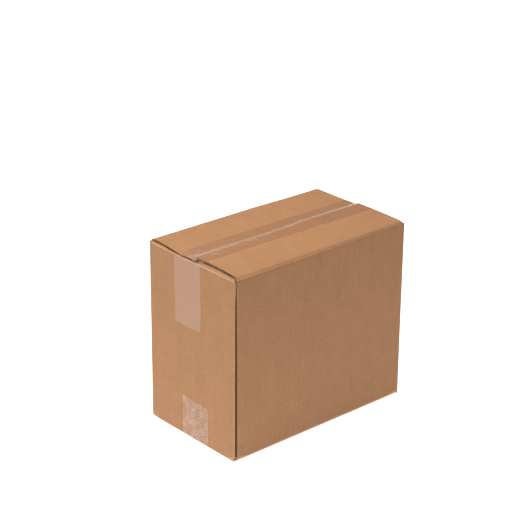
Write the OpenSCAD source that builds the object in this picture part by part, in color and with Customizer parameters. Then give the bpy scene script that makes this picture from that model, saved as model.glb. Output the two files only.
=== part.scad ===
// A closed shipping carton: one corrugated blank, folded and glued, shut with two strips of clear tape.
// X runs along the box, Y across it and Z up, with the origin on the floor under the middle of the box.
// The near end faces -X and the near side faces -Y.

/* [Carton] */
// Length over the two end panels
carton_length = 275; // [200:1:400]
// Width over the two side panels
carton_width = 160; // [130:1:260]
// Height over the long upper flaps where they lie flat
carton_height = 238.5; // [160:0.5:400]
// Thickness of the corrugated board
board = 3; // [1.5:0.1:5]

/* [Folds] */
// Inner radius of the upright folds between the panels
upright_fold = 0.6; // [0.2:0.1:4]
// Inner radius of the short flaps' folds
short_fold = 0.4; // [0.2:0.1:4]
// Inner radius of the long upper flaps' folds
upper_fold = 0.4; // [0.2:0.1:4]
// Outer radius of the same two folds, whose creases are pressed nearly square
pressed_crease = 1.2; // [0.4:0.1:1.6]
// Height of the ends' lower creases above the outer faces of the long lower flaps
bead_clearance = 0.6; // [0.2:0.1:1.5]
// Inner radius of the long lower flaps' folds, rounded by handling
lower_fold = 3.5; // [0.2:0.1:8]

/* [Flaps] */
// Gap from each flap's end to the upright fold beside it, left by the slot
slot_relief = 0.6; // [0.2:0.1:4]
// Gap between a short flap and the long flap over it
stack_play = 0.2; // [0.1:0.1:1]
// Gap between the two long flaps at each seam
seam_gap = 2; // [0.5:0.1:6]
// How much shorter the short flaps are than half the width
short_flap_trim = 1; // [0:0.5:40]

/* [Sprung flap] */
// Lift of the near upper flap above its flat place, at the near end
near_lift = 5; // [0:0.1:8]
// Lift of the same flap at the far end
far_lift = 1.4; // [0:0.1:8]
// Distance from its fold in which the flap climbs to that lift
climb = 45; // [10:1:50]

/* [Glued joint] */
// Width of the glue tab, from its fold to its free edge
tab_width = 34; // [20:1:50]
// Length by which each end of the tab tapers towards its free edge
tab_taper = 11; // [2:0.5:25]
// Distance from the near side's face to the end panel's free edge
joint_gap = 4; // [3.8:0.1:8]

/* [Tape] */
// Width of the tape
tape_width = 48; // [36:1:72]
// Thickness of the film with its glue
film = 0.1; // [0.05:0.01:0.3]
// Length of the upper strip's tails below the ends' creases
upper_tail = 84; // [30:1:110]
// Length of the lower strip's tails above the ends' creases
lower_tail = 46; // [20:1:80]
// Sideways place of the upper strip on the lid
upper_strip_y = -0.5; // [-15:0.5:15]
// Sideways step of the upper strip's tails, where the film creases over the ends
upper_tail_step = 7; // [-10:0.5:10]
// Sideways place of the lower strip
lower_strip_y = -6; // [-15:0.5:15]
// Width over which the film slopes down from the sprung flap to the other
seam_bridge = 4; // [2:0.5:10]
// Pitch of the teeth that the cutter leaves on each end of a strip
tooth_pitch = 3; // [1.5:0.1:6]
// Depth of those teeth
tooth_depth = 1; // [0.3:0.1:2]

/* [Hidden] */
$fn = 48;
kraft = "#bd8d66";
clear_film = [0.86, 0.76, 0.64, 0.55];

// Outer radii of the folds
upright_r = upright_fold + board;
short_r = short_fold + board;
upper_r = upper_fold + board;
lower_r = lower_fold + board;

// Faces and edges of the carton
end_x = carton_length / 2;
side_y = carton_width / 2;
flap_end_x = end_x - upright_r - slot_relief;
flap_end_y = side_y - upright_r - slot_relief;
base_z = film;
short_top_z = carton_height - board - stack_play;
short_base_z = base_z + board + stack_play;
// The ends' lower creases stand proud of the short flaps and reach down beside the long ones
bead_low = base_z + bead_clearance;
bead = short_base_z - bead_low;
bead_reach = upright_r + slot_relief / 2;

// Creases, where each fold begins on its panel
upper_crease = carton_height - upper_r;
lower_crease = base_z + lower_r;
end_upper_crease = short_top_z - short_r;
end_lower_crease = short_base_z + short_r;
shaft_low = max(lower_crease, end_lower_crease);
shaft_high = min(upper_crease, end_upper_crease);
// The upright folds run on to the score lines, along the middle of the short flaps' folds
score_reach = short_r * PI / 4;
// Place along the box where the near side folds into the glue tab
tab_fold_x = -end_x + board + upright_r;

// Reach of the flaps from their panels' faces
long_reach = side_y - seam_gap / 2;
short_reach = side_y - short_flap_trim;
// The sprung flap's slope takes up a little of its length
sprung_reach = long_reach - (norm([climb, near_lift]) - climb);
sprung_start = -side_y + upper_r;
sprung_edge = -side_y + sprung_reach;

// Stations at which the sprung flap and the film over it are worked out
span_steps = 12;
climb_steps = 6;
span_x = [for (i = [0:span_steps]) -flap_end_x + 2 * flap_end_x * i / span_steps];

// Rise from 0 to 1 that slows down towards its end
function ease(t) = t * (2 - t);
// Height of the sprung flap's outer face, a given distance along the box, once it has climbed
function sprung_top(x) =
    carton_height + near_lift + (far_lift - near_lift) * (x + flap_end_x) / (2 * flap_end_x);
// Height of that face at a fraction of its climb
function climbing_top(x, t) = carton_height + (sprung_top(x) - carton_height) * ease(t);
// Unit normal on the left of the way from one point to the next
function left_normal(p, q) = [p[1] - q[1], q[0] - p[0]] / norm(q - p);
// A path's points, moved to its left by the film's thickness, with mitred corners
function film_face(path) = [
    for (i = [0:len(path) - 1])
        let (
            n = left_normal(path[max(i - 1, 0)], path[max(i, 1)]),
            m = left_normal(path[min(i, len(path) - 2)], path[min(i + 1, len(path) - 1)])
        )
        path[i] + film * (n + m) / (1 + n * m)
];
// Height over the middle of a pressed crease at which the film leaves the end's face, clear of the crease,
// for the edge of a long flap that is a given height over the same middle
function lift_off(height) =
    let (
        arm = [pressed_crease - (end_x - flap_end_x), height],
        turn = acos(pressed_crease / norm(arm)) + atan2(arm[1], -arm[0])
    )
    pressed_crease * tan((180 - turn) / 2);
upper_middle = short_top_z - pressed_crease;
lower_middle = bead_low + pressed_crease;
upper_lift_off = upper_middle + lift_off(carton_height - upper_middle);
lower_lift_off = lower_middle - lift_off(lower_middle - base_z);
// Path of the upper strip's glued face, in length and height, over long flaps at the given heights
function lid_path(tops) = concat(
    [[-end_x, end_upper_crease], [-end_x, upper_lift_off]],
    [for (i = [0:span_steps]) [span_x[i], tops[i]]],
    [[end_x, upper_lift_off], [end_x, end_upper_crease]]
);

// Closed solid between two grids of points, each a list of rows along the box
module sheet(upper, lower) {
    rows = len(upper);
    cols = len(upper[0]);
    half = rows * cols;
    cells = [for (r = [0:rows - 2], c = [0:cols - 2]) r * cols + c];
    rim = concat(
        [for (c = [0:cols - 1]) c],
        [for (r = [1:rows - 1]) r * cols + cols - 1],
        [for (c = [cols - 2:-1:0]) (rows - 1) * cols + c],
        [for (r = [rows - 2:-1:1]) r * cols]
    );
    polyhedron(
        points = concat([for (row = upper) each row], [for (row = lower) each row]),
        faces = concat(
            [for (a = cells) each [[a, a + cols, a + cols + 1], [a, a + cols + 1, a + 1]]],
            [
                for (a = cells)
                    each [
                        [half + a, half + a + cols + 1, half + a + cols],
                        [half + a, half + a + 1, half + a + cols + 1]
                    ]
            ],
            [
                for (i = [0:len(rim) - 1])
                    let (p = rim[i], q = rim[(i + 1) % len(rim)])
                    each [[p, q, half + q], [p, half + q, half + p]]
            ]
        )
    );
}

// Plan of a box with round corners
module rounded_plan(length, width, radius) {
    square([length - 2 * radius, width], center = true);
    square([length, width - 2 * radius], center = true);
    for (x = [-1, 1], y = [-1, 1])
        translate([x * (length / 2 - radius), y * (width / 2 - radius)]) circle(radius);
}

// Section of a folded edge: a panel's outer face is on the vertical axis, and the flap leads away at the top
module fold_section(inner) {
    intersection() {
        translate([inner + board, 0]) difference() {
            circle(inner + board);
            circle(inner);
        }
        square(inner + board);
    }
}

// Section of a fold pressed nearly square, whose crease stands a given height proud of the flap's face
module pressed_section(inner, proud = 0) {
    radius = inner + board;
    width = min(radius, bead_reach);
    height = radius + proud;
    difference() {
        union() {
            square([width, height - pressed_crease]);
            translate([pressed_crease, 0]) square([width - pressed_crease, height]);
            translate([pressed_crease, height - pressed_crease]) circle(pressed_crease);
            translate([pressed_crease, 0]) square([radius - pressed_crease, radius]);
        }
        translate([radius, 0]) circle(inner);
    }
}

// Section of a flap past its fold, which reaches a given distance from the panel's face
module flap_section(inner, reach) {
    translate([inner + board, inner]) square([reach - inner - board, board]);
}

// Section of a panel between two folds, from one height to another
module panel_section(low, high) {
    translate([0, low]) square([board, high - low]);
}

// Plan of the three corner folds, and of the near side's fold into the glue tab behind the end panel
module upright_folds() {
    for (corner = [[0, 0], [1, 0], [1, 1]])
        mirror([corner[0], 0])
            mirror([0, corner[1]])
                translate([-end_x, side_y - upright_r]) fold_section(upright_fold);
    translate([-end_x + board, -side_y + upright_r]) mirror([0, 1]) fold_section(upright_fold);
}

// The four upright panels with their folds, and the free edge of the near end panel
module shaft() {
    corner = 2 * board + upright_r;
    translate([0, 0, shaft_low]) linear_extrude(shaft_high - shaft_low) {
        difference() {
            rounded_plan(carton_length, carton_width, upright_r);
            rounded_plan(carton_length - 2 * board, carton_width - 2 * board, upright_fold);
            translate([-end_x, -side_y]) square(corner);
        }
        // The end panel stops short of the near side
        translate([-end_x, -side_y + joint_gap]) square([board, corner - joint_gap]);
        // The near side's panel begins at its fold into the glue tab
        translate([tab_fold_x, -side_y]) square([-end_x + corner - tab_fold_x, board]);
    }
    translate([0, 0, shaft_low - score_reach])
        linear_extrude(shaft_high - shaft_low + 2 * score_reach) upright_folds();
}

// Tab glued behind the near end panel, with its ends tapered
module glue_tab() {
    low = shaft_low;
    high = shaft_high;
    translate([-end_x + board, -side_y + upright_r, 0])
        rotate([90, 0, 90])
            linear_extrude(board)
                polygon([
                    [0, low], [tab_width, low + tab_taper],
                    [tab_width, high - tab_taper], [0, high]
                ]);
}

// Runs a section of length and height along the box's width, on the near end
module along_end() {
    translate([-end_x, flap_end_y, 0]) rotate([90, 0, 0]) linear_extrude(2 * flap_end_y) children();
}

// Runs a section of width and height along the box's length, on the near side, from a given place
module along_side(start = -flap_end_x) {
    translate([start, -side_y, 0]) rotate([90, 0, 90]) linear_extrude(flap_end_x - start) children();
}

// An end panel between its creases, with the short flaps that lie under the long ones
module end_sheet() {
    along_end() {
        panel_section(end_lower_crease, end_upper_crease);
        translate([0, end_upper_crease]) {
            pressed_section(short_fold);
            flap_section(short_fold, short_reach);
        }
        translate([0, end_lower_crease]) mirror([0, 1]) {
            pressed_section(short_fold, bead);
            flap_section(short_fold, short_reach);
        }
    }
}

// A side panel between its creases, from a given place on, with its upper fold and its long lower flap
module side_sheet(start = -flap_end_x) {
    along_side(start) panel_section(lower_crease, upper_crease);
    along_side() {
        translate([0, upper_crease]) pressed_section(upper_fold);
        translate([0, lower_crease]) mirror([0, 1]) {
            fold_section(lower_fold);
            flap_section(lower_fold, long_reach);
        }
    }
}

// The near upper flap, warped: it climbs from its fold and stands higher at the near end
module sprung_flap() {
    upper = [
        for (k = [0:climb_steps + 1])
            [
                for (x = span_x)
                    k <= climb_steps
                        ? [x, sprung_start + climb * k / climb_steps, climbing_top(x, k / climb_steps)]
                        : [x, sprung_edge, sprung_top(x)]
            ]
    ];
    lower = [for (row = upper) [for (p = row) p - [0, 0, board]]];
    sheet(upper, lower);
}

// The whole folded and glued blank
module carton() {
    color(kraft) {
        shaft();
        glue_tab();
        end_sheet();
        mirror([1, 0, 0]) end_sheet();
        side_sheet(tab_fold_x);
        mirror([0, 1, 0]) side_sheet();
        mirror([0, 1, 0]) along_side() translate([0, upper_crease]) flap_section(upper_fold, long_reach);
        sprung_flap();
    }
}

// A strip's tail on the near end's face, hanging from its crease to a toothed free end
module tail(length) {
    teeth = round(tape_width / tooth_pitch);
    pitch = tape_width / teeth;
    edge = [
        for (i = [0:teeth - 1])
            each [
                [-tape_width / 2 + i * pitch, tooth_depth - length],
                [-tape_width / 2 + (i + 0.5) * pitch, -length]
            ]
    ];
    crease = [[tape_width / 2, 0], [-tape_width / 2, 0]];
    translate([-end_x - film, 0, 0])
        rotate([90, 0, 90])
            linear_extrude(film)
                polygon(concat(edge, [[tape_width / 2, tooth_depth - length]], crease));
}

// Strip over the upper seam: it bridges the step between the two long flaps and creases over both ends
module top_tape() {
    near_edge = upper_strip_y - tape_width / 2;
    far_edge = upper_strip_y + tape_width / 2;
    raised = lid_path([for (x = span_x) sprung_top(x)]);
    flat = lid_path([for (x = span_x) carton_height]);
    lines = [near_edge, sprung_edge, sprung_edge + seam_bridge, far_edge];
    paths = [raised, raised, flat, flat];
    last = len(flat) - 1;
    // The tails and the film on the ends' faces stand a step aside of the strip on the lid
    function place(line, i) = line + (i <= 1 || i >= last - 1 ? upper_tail_step : 0);
    glued = [for (j = [0:3]) [for (i = [0:last]) [paths[j][i][0], place(lines[j], i), paths[j][i][1]]]];
    outer = [
        for (j = [0:3])
            let (face = film_face(paths[j]))
            [for (i = [0:last]) [face[i][0], place(lines[j], i), face[i][1]]]
    ];
    color(clear_film) {
        sheet(outer, glued);
        for (side = [0, 1])
            mirror([side, 0, 0])
                translate([0, upper_strip_y + upper_tail_step, end_upper_crease])
                    tail(upper_tail);
    }
}

// Strip under the lower seam, with shorter tails up both ends
module bottom_tape() {
    path = [
        [end_x, end_lower_crease], [end_x, lower_lift_off], [flap_end_x, base_z],
        [-flap_end_x, base_z], [-end_x, lower_lift_off], [-end_x, end_lower_crease]
    ];
    outer = film_face(path);
    color(clear_film) {
        translate([0, lower_strip_y + tape_width / 2, 0])
            rotate([90, 0, 0])
                linear_extrude(tape_width)
                    polygon(concat(path, [for (i = [len(outer) - 1:-1:0]) outer[i]]));
        for (side = [0, 1])
            mirror([side, 0, 0])
                translate([0, lower_strip_y, end_lower_crease])
                    mirror([0, 0, 1])
                        tail(lower_tail);
    }
}

carton();
top_tape();
bottom_tape();
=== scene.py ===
"""A closed shipping carton: one folded and glued blank of corrugated board, shut with two strips of tape.

The board is drawn flat, as it leaves the cutter, and then folded along its scores. The strips of clear
tape are drawn flat too, and laid over the seams. Lengths are in metres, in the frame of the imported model.
"""

import math

import bmesh
import bpy
from bpy.props import FloatProperty, FloatVectorProperty, IntProperty, PointerProperty
from mathutils import Matrix, Vector, noise


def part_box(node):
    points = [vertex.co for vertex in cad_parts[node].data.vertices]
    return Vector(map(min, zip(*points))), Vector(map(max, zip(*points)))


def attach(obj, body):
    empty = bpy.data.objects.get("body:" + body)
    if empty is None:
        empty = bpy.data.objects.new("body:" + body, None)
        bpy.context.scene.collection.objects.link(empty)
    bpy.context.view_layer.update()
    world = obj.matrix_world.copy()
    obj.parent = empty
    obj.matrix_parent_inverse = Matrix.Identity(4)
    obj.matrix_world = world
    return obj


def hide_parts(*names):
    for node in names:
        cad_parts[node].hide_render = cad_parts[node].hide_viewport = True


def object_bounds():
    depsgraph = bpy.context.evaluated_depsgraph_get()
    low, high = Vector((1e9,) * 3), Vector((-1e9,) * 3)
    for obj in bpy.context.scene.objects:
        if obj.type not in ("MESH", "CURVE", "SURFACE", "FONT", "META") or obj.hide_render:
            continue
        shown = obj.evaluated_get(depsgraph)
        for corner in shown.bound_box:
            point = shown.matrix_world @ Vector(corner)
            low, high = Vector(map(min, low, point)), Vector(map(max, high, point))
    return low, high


bl_info = {
    "name": "Closed shipping carton",
    "version": (1, 0, 0),
    "blender": (4, 5, 0),
    "location": "3D View > Sidebar > Carton",
    "description": "Builds a taped carton of corrugated board around its packed frame",
    "category": "Object",
}

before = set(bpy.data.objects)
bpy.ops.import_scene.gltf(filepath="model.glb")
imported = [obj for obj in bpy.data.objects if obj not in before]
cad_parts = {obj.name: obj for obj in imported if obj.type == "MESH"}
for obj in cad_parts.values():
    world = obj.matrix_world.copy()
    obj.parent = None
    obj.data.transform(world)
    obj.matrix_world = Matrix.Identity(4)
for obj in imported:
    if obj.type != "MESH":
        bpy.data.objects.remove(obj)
CAD_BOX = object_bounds()
BOARD_LOW, BOARD_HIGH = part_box("carton")

MM = 0.001
# Slack in telling whether a place on the flat blank is at a line, and whether it is within a range
AT_LINE = 1e-7
WITHIN = 1e-6
X_AXIS = Vector((1, 0, 0))
Y_AXIS = Vector((0, 1, 0))
Z_AXIS = Vector((0, 0, 1))


def length_prop(name, description, millimetres, low=0.0):
    """A length in metres, given in millimetres."""
    return FloatProperty(
        name=name,
        description=description,
        default=millimetres * MM,
        min=low * MM,
        precision=4,
        unit="LENGTH",
    )


def level_prop(name, description, level, **limits):
    """A number, with limits or a unit where it needs them."""
    return FloatProperty(name=name, description=description, default=level, **limits)


def colour_prop(name, description, colour):
    """A colour in linear red, green and blue."""
    return FloatVectorProperty(
        name=name, description=description, default=colour, size=3, min=0, max=1, subtype="COLOR"
    )


class CartonSizes(bpy.types.PropertyGroup):
    """Sizes of the folded board"""

    length: length_prop("Length", "Over the two end panels", 2 * BOARD_HIGH.x / MM, 100)
    width: length_prop("Width", "Over the two side panels", (BOARD_HIGH.y - BOARD_LOW.y) / MM, 60)
    lid: length_prop("Lid height", "Of the outer face of the long upper flaps where they lie flat", 238.5, 60)
    base: length_prop("Base height", "Of the outer face of the long lower flaps", BOARD_LOW.z / MM)
    board: length_prop("Board", "Thickness of the corrugated board", 3, 1)
    upright_fold: length_prop("Upright folds", "Outer radius of the folds between the panels", 3.6, 3.1)
    short_fold: length_prop("Short flaps' folds", "Outer radius", 3.4, 3.1)
    upper_fold: length_prop("Upper flaps' folds", "Outer radius of the long upper flaps' folds", 3.4, 3.1)
    crease_drop: length_prop("Crease drop", "From the long upper flaps' faces down to their creases", 2.3)
    lower_fold: length_prop("Lower flaps' folds", "Outer radius of the long lower flaps' folds", 6.5, 3.1)
    corner_reach: length_prop("Corner reach", "How far the upright folds run past the flaps' folds", 3.0)
    slot_relief: length_prop("Slot relief", "Gap from a flap's end to the upright fold beside it", 0.6)
    stack_play: length_prop("Stack play", "Gap between a short flap and the long flap over it", 0.2)
    seam_gap: length_prop("Seam gap", "Gap between the two long flaps", 2)
    short_trim: length_prop("Short flaps' trim", "How much shorter they are than half the width", 1)
    tab: length_prop("Glue tab", "Width of the tab behind the near end panel", 34, 10)
    tab_taper: length_prop("Tab taper", "Length by which the tab's ends taper", 11)
    joint_gap: length_prop("Joint gap", "From the near side's face to the end panel's free edge", 4, 3.6)
    near_lift: length_prop("Lift, near end", "Of the sprung flap's free edge above its flat place", 2.5)
    far_lift: length_prop("Lift, far end", "Of the sprung flap's free edge above its flat place", 1.2)
    crush: length_prop("Crush gap", "Least gap between a crushed long flap and the short flap below it", 0.15)
    bead: length_prop("Bead", "How far the ends' lower creases hang below their short flaps", 2.6)
    crease_square: level_prop("Crease squareness", "2 is a round, more is squarer", 7, min=2)
    row: length_prop("Mesh rows", "Greatest distance between rows of the mesh", 7, 2)
    fold_steps: IntProperty(name="Fold steps", description="Facets round each fold", default=6, min=3)


class TapeSizes(bpy.types.PropertyGroup):
    """Sizes of the two strips of tape"""

    width: length_prop("Width", "Of the tape", 48, 20)
    film: length_prop("Film", "Thickness of the film", 0.045)
    stand_off: length_prop("Glue line", "From the board to the film's inner face", 0.05)
    upper_tail: length_prop("Upper tails", "Below the ends' creases", 84)
    lower_tail: length_prop("Lower tails", "Above the ends' creases", 46)
    tail_step: length_prop("Tail step", "Sideways step of the upper strip over the ends", 6.8)
    lower_y: length_prop("Lower strip", "Its sideways place", -6, -40)
    bridge_slope: level_prop("Bridge slope", "Fall of the film past the sprung edge, per unit across", 0.27)
    tooth: length_prop("Tooth pitch", "Of the serrated ends", 3, 1)
    tooth_depth: length_prop("Tooth depth", "Of the serrated ends", 1)
    columns: IntProperty(name="Columns", description="Mesh columns across the tape", default=64, min=16)


class CartonFinish(bpy.types.PropertyGroup):
    """Colours and surface of the board and the tape"""

    kraft: colour_prop("Kraft liner", "Colour of the outer liner", (0.411, 0.207, 0.101))
    # Partly stretched and rubbed fibres, partly a painted highlight along the upper creases and on the
    # joint's cut edge
    worn_and_highlit: colour_prop("Worn liner", "Colour of the stretched and rubbed fibres", (0.58, 0.35, 0.205))
    cut: colour_prop("Cut edge", "Colour of the liners where the board is cut", (0.50, 0.285, 0.155))
    # Painted shade: near black in the hollows of a cut edge, standing for the shade inside the flutes' open
    # channels
    hollow_shade: colour_prop("Medium", "Colour in the hollows of a cut edge", (0.035, 0.016, 0.008))
    # Partly the inner liner's own duller colour, partly painted shade: dark enough to stand for the shade in
    # the glued joint's gap, where the tab shows
    inside: colour_prop("Inner liner", "Colour of the inner liner and of the tab", (0.17, 0.08, 0.038))
    tint: colour_prop("Tape tint", "What one face of the film lets through", (0.99, 0.966, 0.946))
    film: colour_prop("Film mirror", "Colour of what the film mirrors", (0.92, 0.89, 0.84))
    gloss_index: level_prop("Tape gloss", "Refractive index that the film mirrors by", 1.6, min=1.3, max=3)
    flute_pitch: length_prop("Flute pitch", "From one flute to the next", 7.8, 3)


class StageLights(bpy.types.PropertyGroup):
    """Floor, lamps and camera"""

    floor: colour_prop("Floor", "Colour of the floor", (0.93, 0.93, 0.93))
    front: level_prop("Room in front", "Brightness of the room before the carton", 0.05)
    back: level_prop("Room behind", "Brightness of the room behind the carton", 0.9)
    dim: level_prop("Dark patch", "Brightness where the lid mirrors the room", 0.04)
    near_glow: level_prop("Floor glow", "Light that the floor near the carton sends to it", 0.8)
    far_glow: level_prop("Far floor glow", "The same, of the floor far from the carton", 0.1)
    seen_glow: level_prop("Seen floor glow", "What the floor itself shows the camera", 0.8)
    key: level_prop("Key lamp", "Power", 21.5, min=0, unit="POWER")
    focal: level_prop("Focal length", "Of the camera, in millimetres", 117.95, min=10)


# Meshes


def stations(low, high, step):
    """Evenly spaced places after low, up to high, no further apart than step."""
    count = max(1, math.ceil((high - low) / step - WITHIN))
    return [low + (high - low) * (i + 1) / count for i in range(count)]


def extruded_row(bm, edges, direction, distance):
    """Extrudes a row of edges once and gives the new row."""
    made = bmesh.ops.extrude_edge_only(bm, edges=edges)["geom"]
    verts = [g for g in made if isinstance(g, bmesh.types.BMVert)]
    bmesh.ops.translate(bm, verts=verts, vec=direction * distance)
    fresh = set(verts)
    return [
        g for g in made if isinstance(g, bmesh.types.BMEdge) and g.verts[0] in fresh and g.verts[1] in fresh
    ]


def extruded_to(bm, edges, direction, start, stops):
    """Extrudes a row of edges through each stop along a direction."""
    for stop in stops:
        edges = extruded_row(bm, edges, direction, stop - start)
        start = stop
    return edges


def first_row(bm, origin, direction, start, stops):
    """A chain of edges from one vertex through each stop."""
    vert = bm.verts.new(origin + direction * start)
    edges = []
    for stop in stops:
        made = bmesh.ops.extrude_vert_indiv(bm, verts=[vert])
        bmesh.ops.translate(bm, verts=made["verts"], vec=direction * (stop - start))
        edges += made["edges"]
        vert = made["verts"][0]
        start = stop
    return edges


def give_thickness(bm, outward, thickness):
    """Turns a sheet's faces outwards and thickens it inwards. Gives the points of its outer face."""
    bmesh.ops.recalc_face_normals(bm, faces=bm.faces)
    furthest = max(bm.faces, key=lambda f: f.calc_center_median().dot(outward))
    if furthest.normal.dot(outward) < 0:
        bmesh.ops.reverse_faces(bm, faces=bm.faces)
    outer = set(bm.verts)
    bmesh.ops.solidify(bm, geom=bm.faces[:], thickness=thickness)
    return outer


def finished_object(bm, name, materials, node):
    """Makes the object of a piece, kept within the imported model's box, in place of a node of it."""
    for v in bm.verts:
        v.co = [min(max(c, low), high) for c, low, high in zip(v.co, *CAD_BOX)]
    mesh = bpy.data.meshes.new(name)
    bm.to_mesh(mesh)
    bm.free()
    for material in materials:
        mesh.materials.append(material)
    piece = bpy.data.objects.new(name, mesh)
    bpy.context.scene.collection.objects.link(piece)
    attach(piece, "root")
    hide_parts(node)
    return piece


def ease(t):
    """0 up to t = 0, 1 from t = 1, and a smooth rise between."""
    t = min(max(t, 0.0), 1.0)
    return t * t * (3 - 2 * t)


def blend_through(x, points):
    """Value at x on straight lines between (place, value) points."""
    if x <= points[0][0]:
        return points[0][1]
    for (x0, v0), (x1, v1) in zip(points, points[1:]):
        if x <= x1:
            return v0 + (v1 - v0) * (x - x0) / (x1 - x0)
    return points[-1][1]


def wander(x, y, scale, seed):
    """Smooth noise from -1 to 1 over a surface, with features about as large as scale."""
    return noise.noise(Vector((x / scale, y / scale, seed)))


# The shape of the handled carton


class Shape:
    """Where the handled board lies: faces, folds, and how far each panel and flap has left its flat place."""

    # Rise of the sprung flap from its fold to its free edge: share of its width, then share of its lift
    SPRING = ((0, 0), (0.03, 0.25), (0.17, 0.5), (0.35, 0.82), (0.54, 1.0), (0.8, 0.93), (1, 1))
    # Fall of the other long flap's crushed near end: place across the box, then fall, in millimetres
    END_FALL = ((12, 2.6), (20, 3.3), (27, 3.3), (34, 2.7), (42, 1.7), (51, 0.7), (58, 0))
    # The next four are pairs of a place and a value in millimetres, with a share of the length as the place
    # in the first two. They give the seam's shift, the other long flap's rise along its fold, the rise of the
    # near end's upper fold across the box, and the glued joint's gape over its height
    SEAM_SHIFT = ((0, 4.2), (0.45, 4.2), (0.65, 1.2), (1, 1.0))
    FAR_FOLD = ((0, -0.5), (0.6, -1.0), (0.8, -2.2), (1, -2.6))
    END_CREST = ((-77, 0), (-64, -0.3), (-20, -0.4), (10, -0.5), (40, -0.1), (76, 0.4))
    JOINT_GAPE = ((0, 1.8), (120, 1.4), (200, 0.7), (225, 0.1), (234, 0))
    # Share of the near end's crest that the far end has, turned round
    FAR_CREST = 0.3

    def __init__(self, sizes):
        self.s = sizes
        self.end = sizes.length / 2
        self.side = sizes.width / 2
        self.short_top = sizes.lid - sizes.board - sizes.stack_play
        self.short_base = sizes.base + sizes.board + sizes.stack_play
        self.crease = {
            "side": (sizes.base + sizes.lower_fold, sizes.lid - sizes.upper_fold),
            "end": (self.short_base + sizes.short_fold, self.short_top - sizes.short_fold),
        }
        self.low = max(self.crease["side"][0], self.crease["end"][0])
        self.high = min(self.crease["side"][1], self.crease["end"][1])
        self.flap_x = self.end - sizes.upright_fold - sizes.slot_relief
        self.flap_y = self.side - sizes.upright_fold - sizes.slot_relief
        self.long_reach = self.side - sizes.seam_gap / 2
        self.seam = -sizes.seam_gap / 2
        self.short_reach = self.side - sizes.short_trim

    def along(self, x):
        """0 at the near end, 1 at the far end."""
        return min(max(x / self.s.length + 0.5, 0.0), 1.0)

    def seam_shift(self, x):
        """How far the long flaps' free edges lie off the middle, towards the near side."""
        return blend_through(self.along(x), self.SEAM_SHIFT) * MM

    def near_lid_rise(self, x, y):
        """Rise of the sprung flap above the flat lid."""
        lift = self.s.near_lift + (self.s.far_lift - self.s.near_lift) * self.along(x)
        start = -self.side + self.s.upper_fold
        across = (y - start) / (self.seam - self.seam_shift(x) - start)
        climbed = blend_through(across, self.SPRING)
        return lift * climbed + 0.12 * MM * wander(x, y, 0.05, 3.1) * min(climbed, 1.0)

    def far_lid_rise(self, x, y):
        """Rise of the other long flap: it is pressed down, most along its fold at the far end."""
        a = self.along(x)
        fold = blend_through(a, self.FAR_FOLD) * MM
        seam = (-1.2 * (1 - ease(a / 0.45)) - 1.6 * a) * MM
        t = min(max(y / self.side, 0.0), 1.0)
        fall = blend_through(y / MM, self.END_FALL) * MM * ease(1 - (x + self.end) / (16 * MM))
        return seam + (fold - seam) * ease(t) - fall + 0.1 * MM * wander(x, y, 0.05, 7.7)

    def short_flap_rise(self, x, y):
        """Rise of a short upper flap: raised under the sprung flap, pressed down under the other one."""
        inside = self.end - abs(x)
        crest = self.end_crest(y) if x < 0 else self.FAR_CREST * self.end_crest(-y)
        below_near = self.near_lid_rise(x, y) - 0.1 * MM
        below_far = min(self.far_lid_rise(x, y), 0)
        under_near = ease((self.seam - self.seam_shift(x) - y) / (11 * MM))
        held = below_far + (below_near - below_far) * under_near
        reach = (7 - 2.4 * under_near) * MM
        return crest * ease(1 - inside / (12 * MM)) + held * ease(inside / reach)

    def side_dish(self, x, z):
        """How far a side panel's face lies inside its flat place."""
        edge = min(self.end - abs(x), z - self.low, self.high - z)
        return (0.30 + 0.25 * wander(x, z, 0.08, 1.3)) * MM * ease(edge / 0.035)

    def end_dish(self, y, z):
        """How far an end panel's face lies inside its flat place."""
        edge = min(self.side - abs(y), z - self.low, self.high - z)
        return (0.22 + 0.2 * wander(y, z, 0.07, 5.9)) * MM * ease(edge / 0.03)

    def end_crest(self, y):
        """Rise of the near end's upper fold along its length."""
        return blend_through(y / MM, self.END_CREST) * MM

    def joint_shift(self, z):
        """How far the end panel's free edge lies nearer the corner towards the top."""
        return (0.4 + 1.2 * ease((z - 0.2) / 0.03)) * MM

    def joint_gape(self, z):
        """How far the tab's fold has drawn back from the end panel."""
        return blend_through(z / MM, self.JOINT_GAPE) * MM


# The board


# Places of the board's materials in its list
LINER, CUT_ACROSS, CUT_ALONG, INNER_SHADED, CUT_AT_JOINT_HIGHLIT = range(5)


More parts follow.
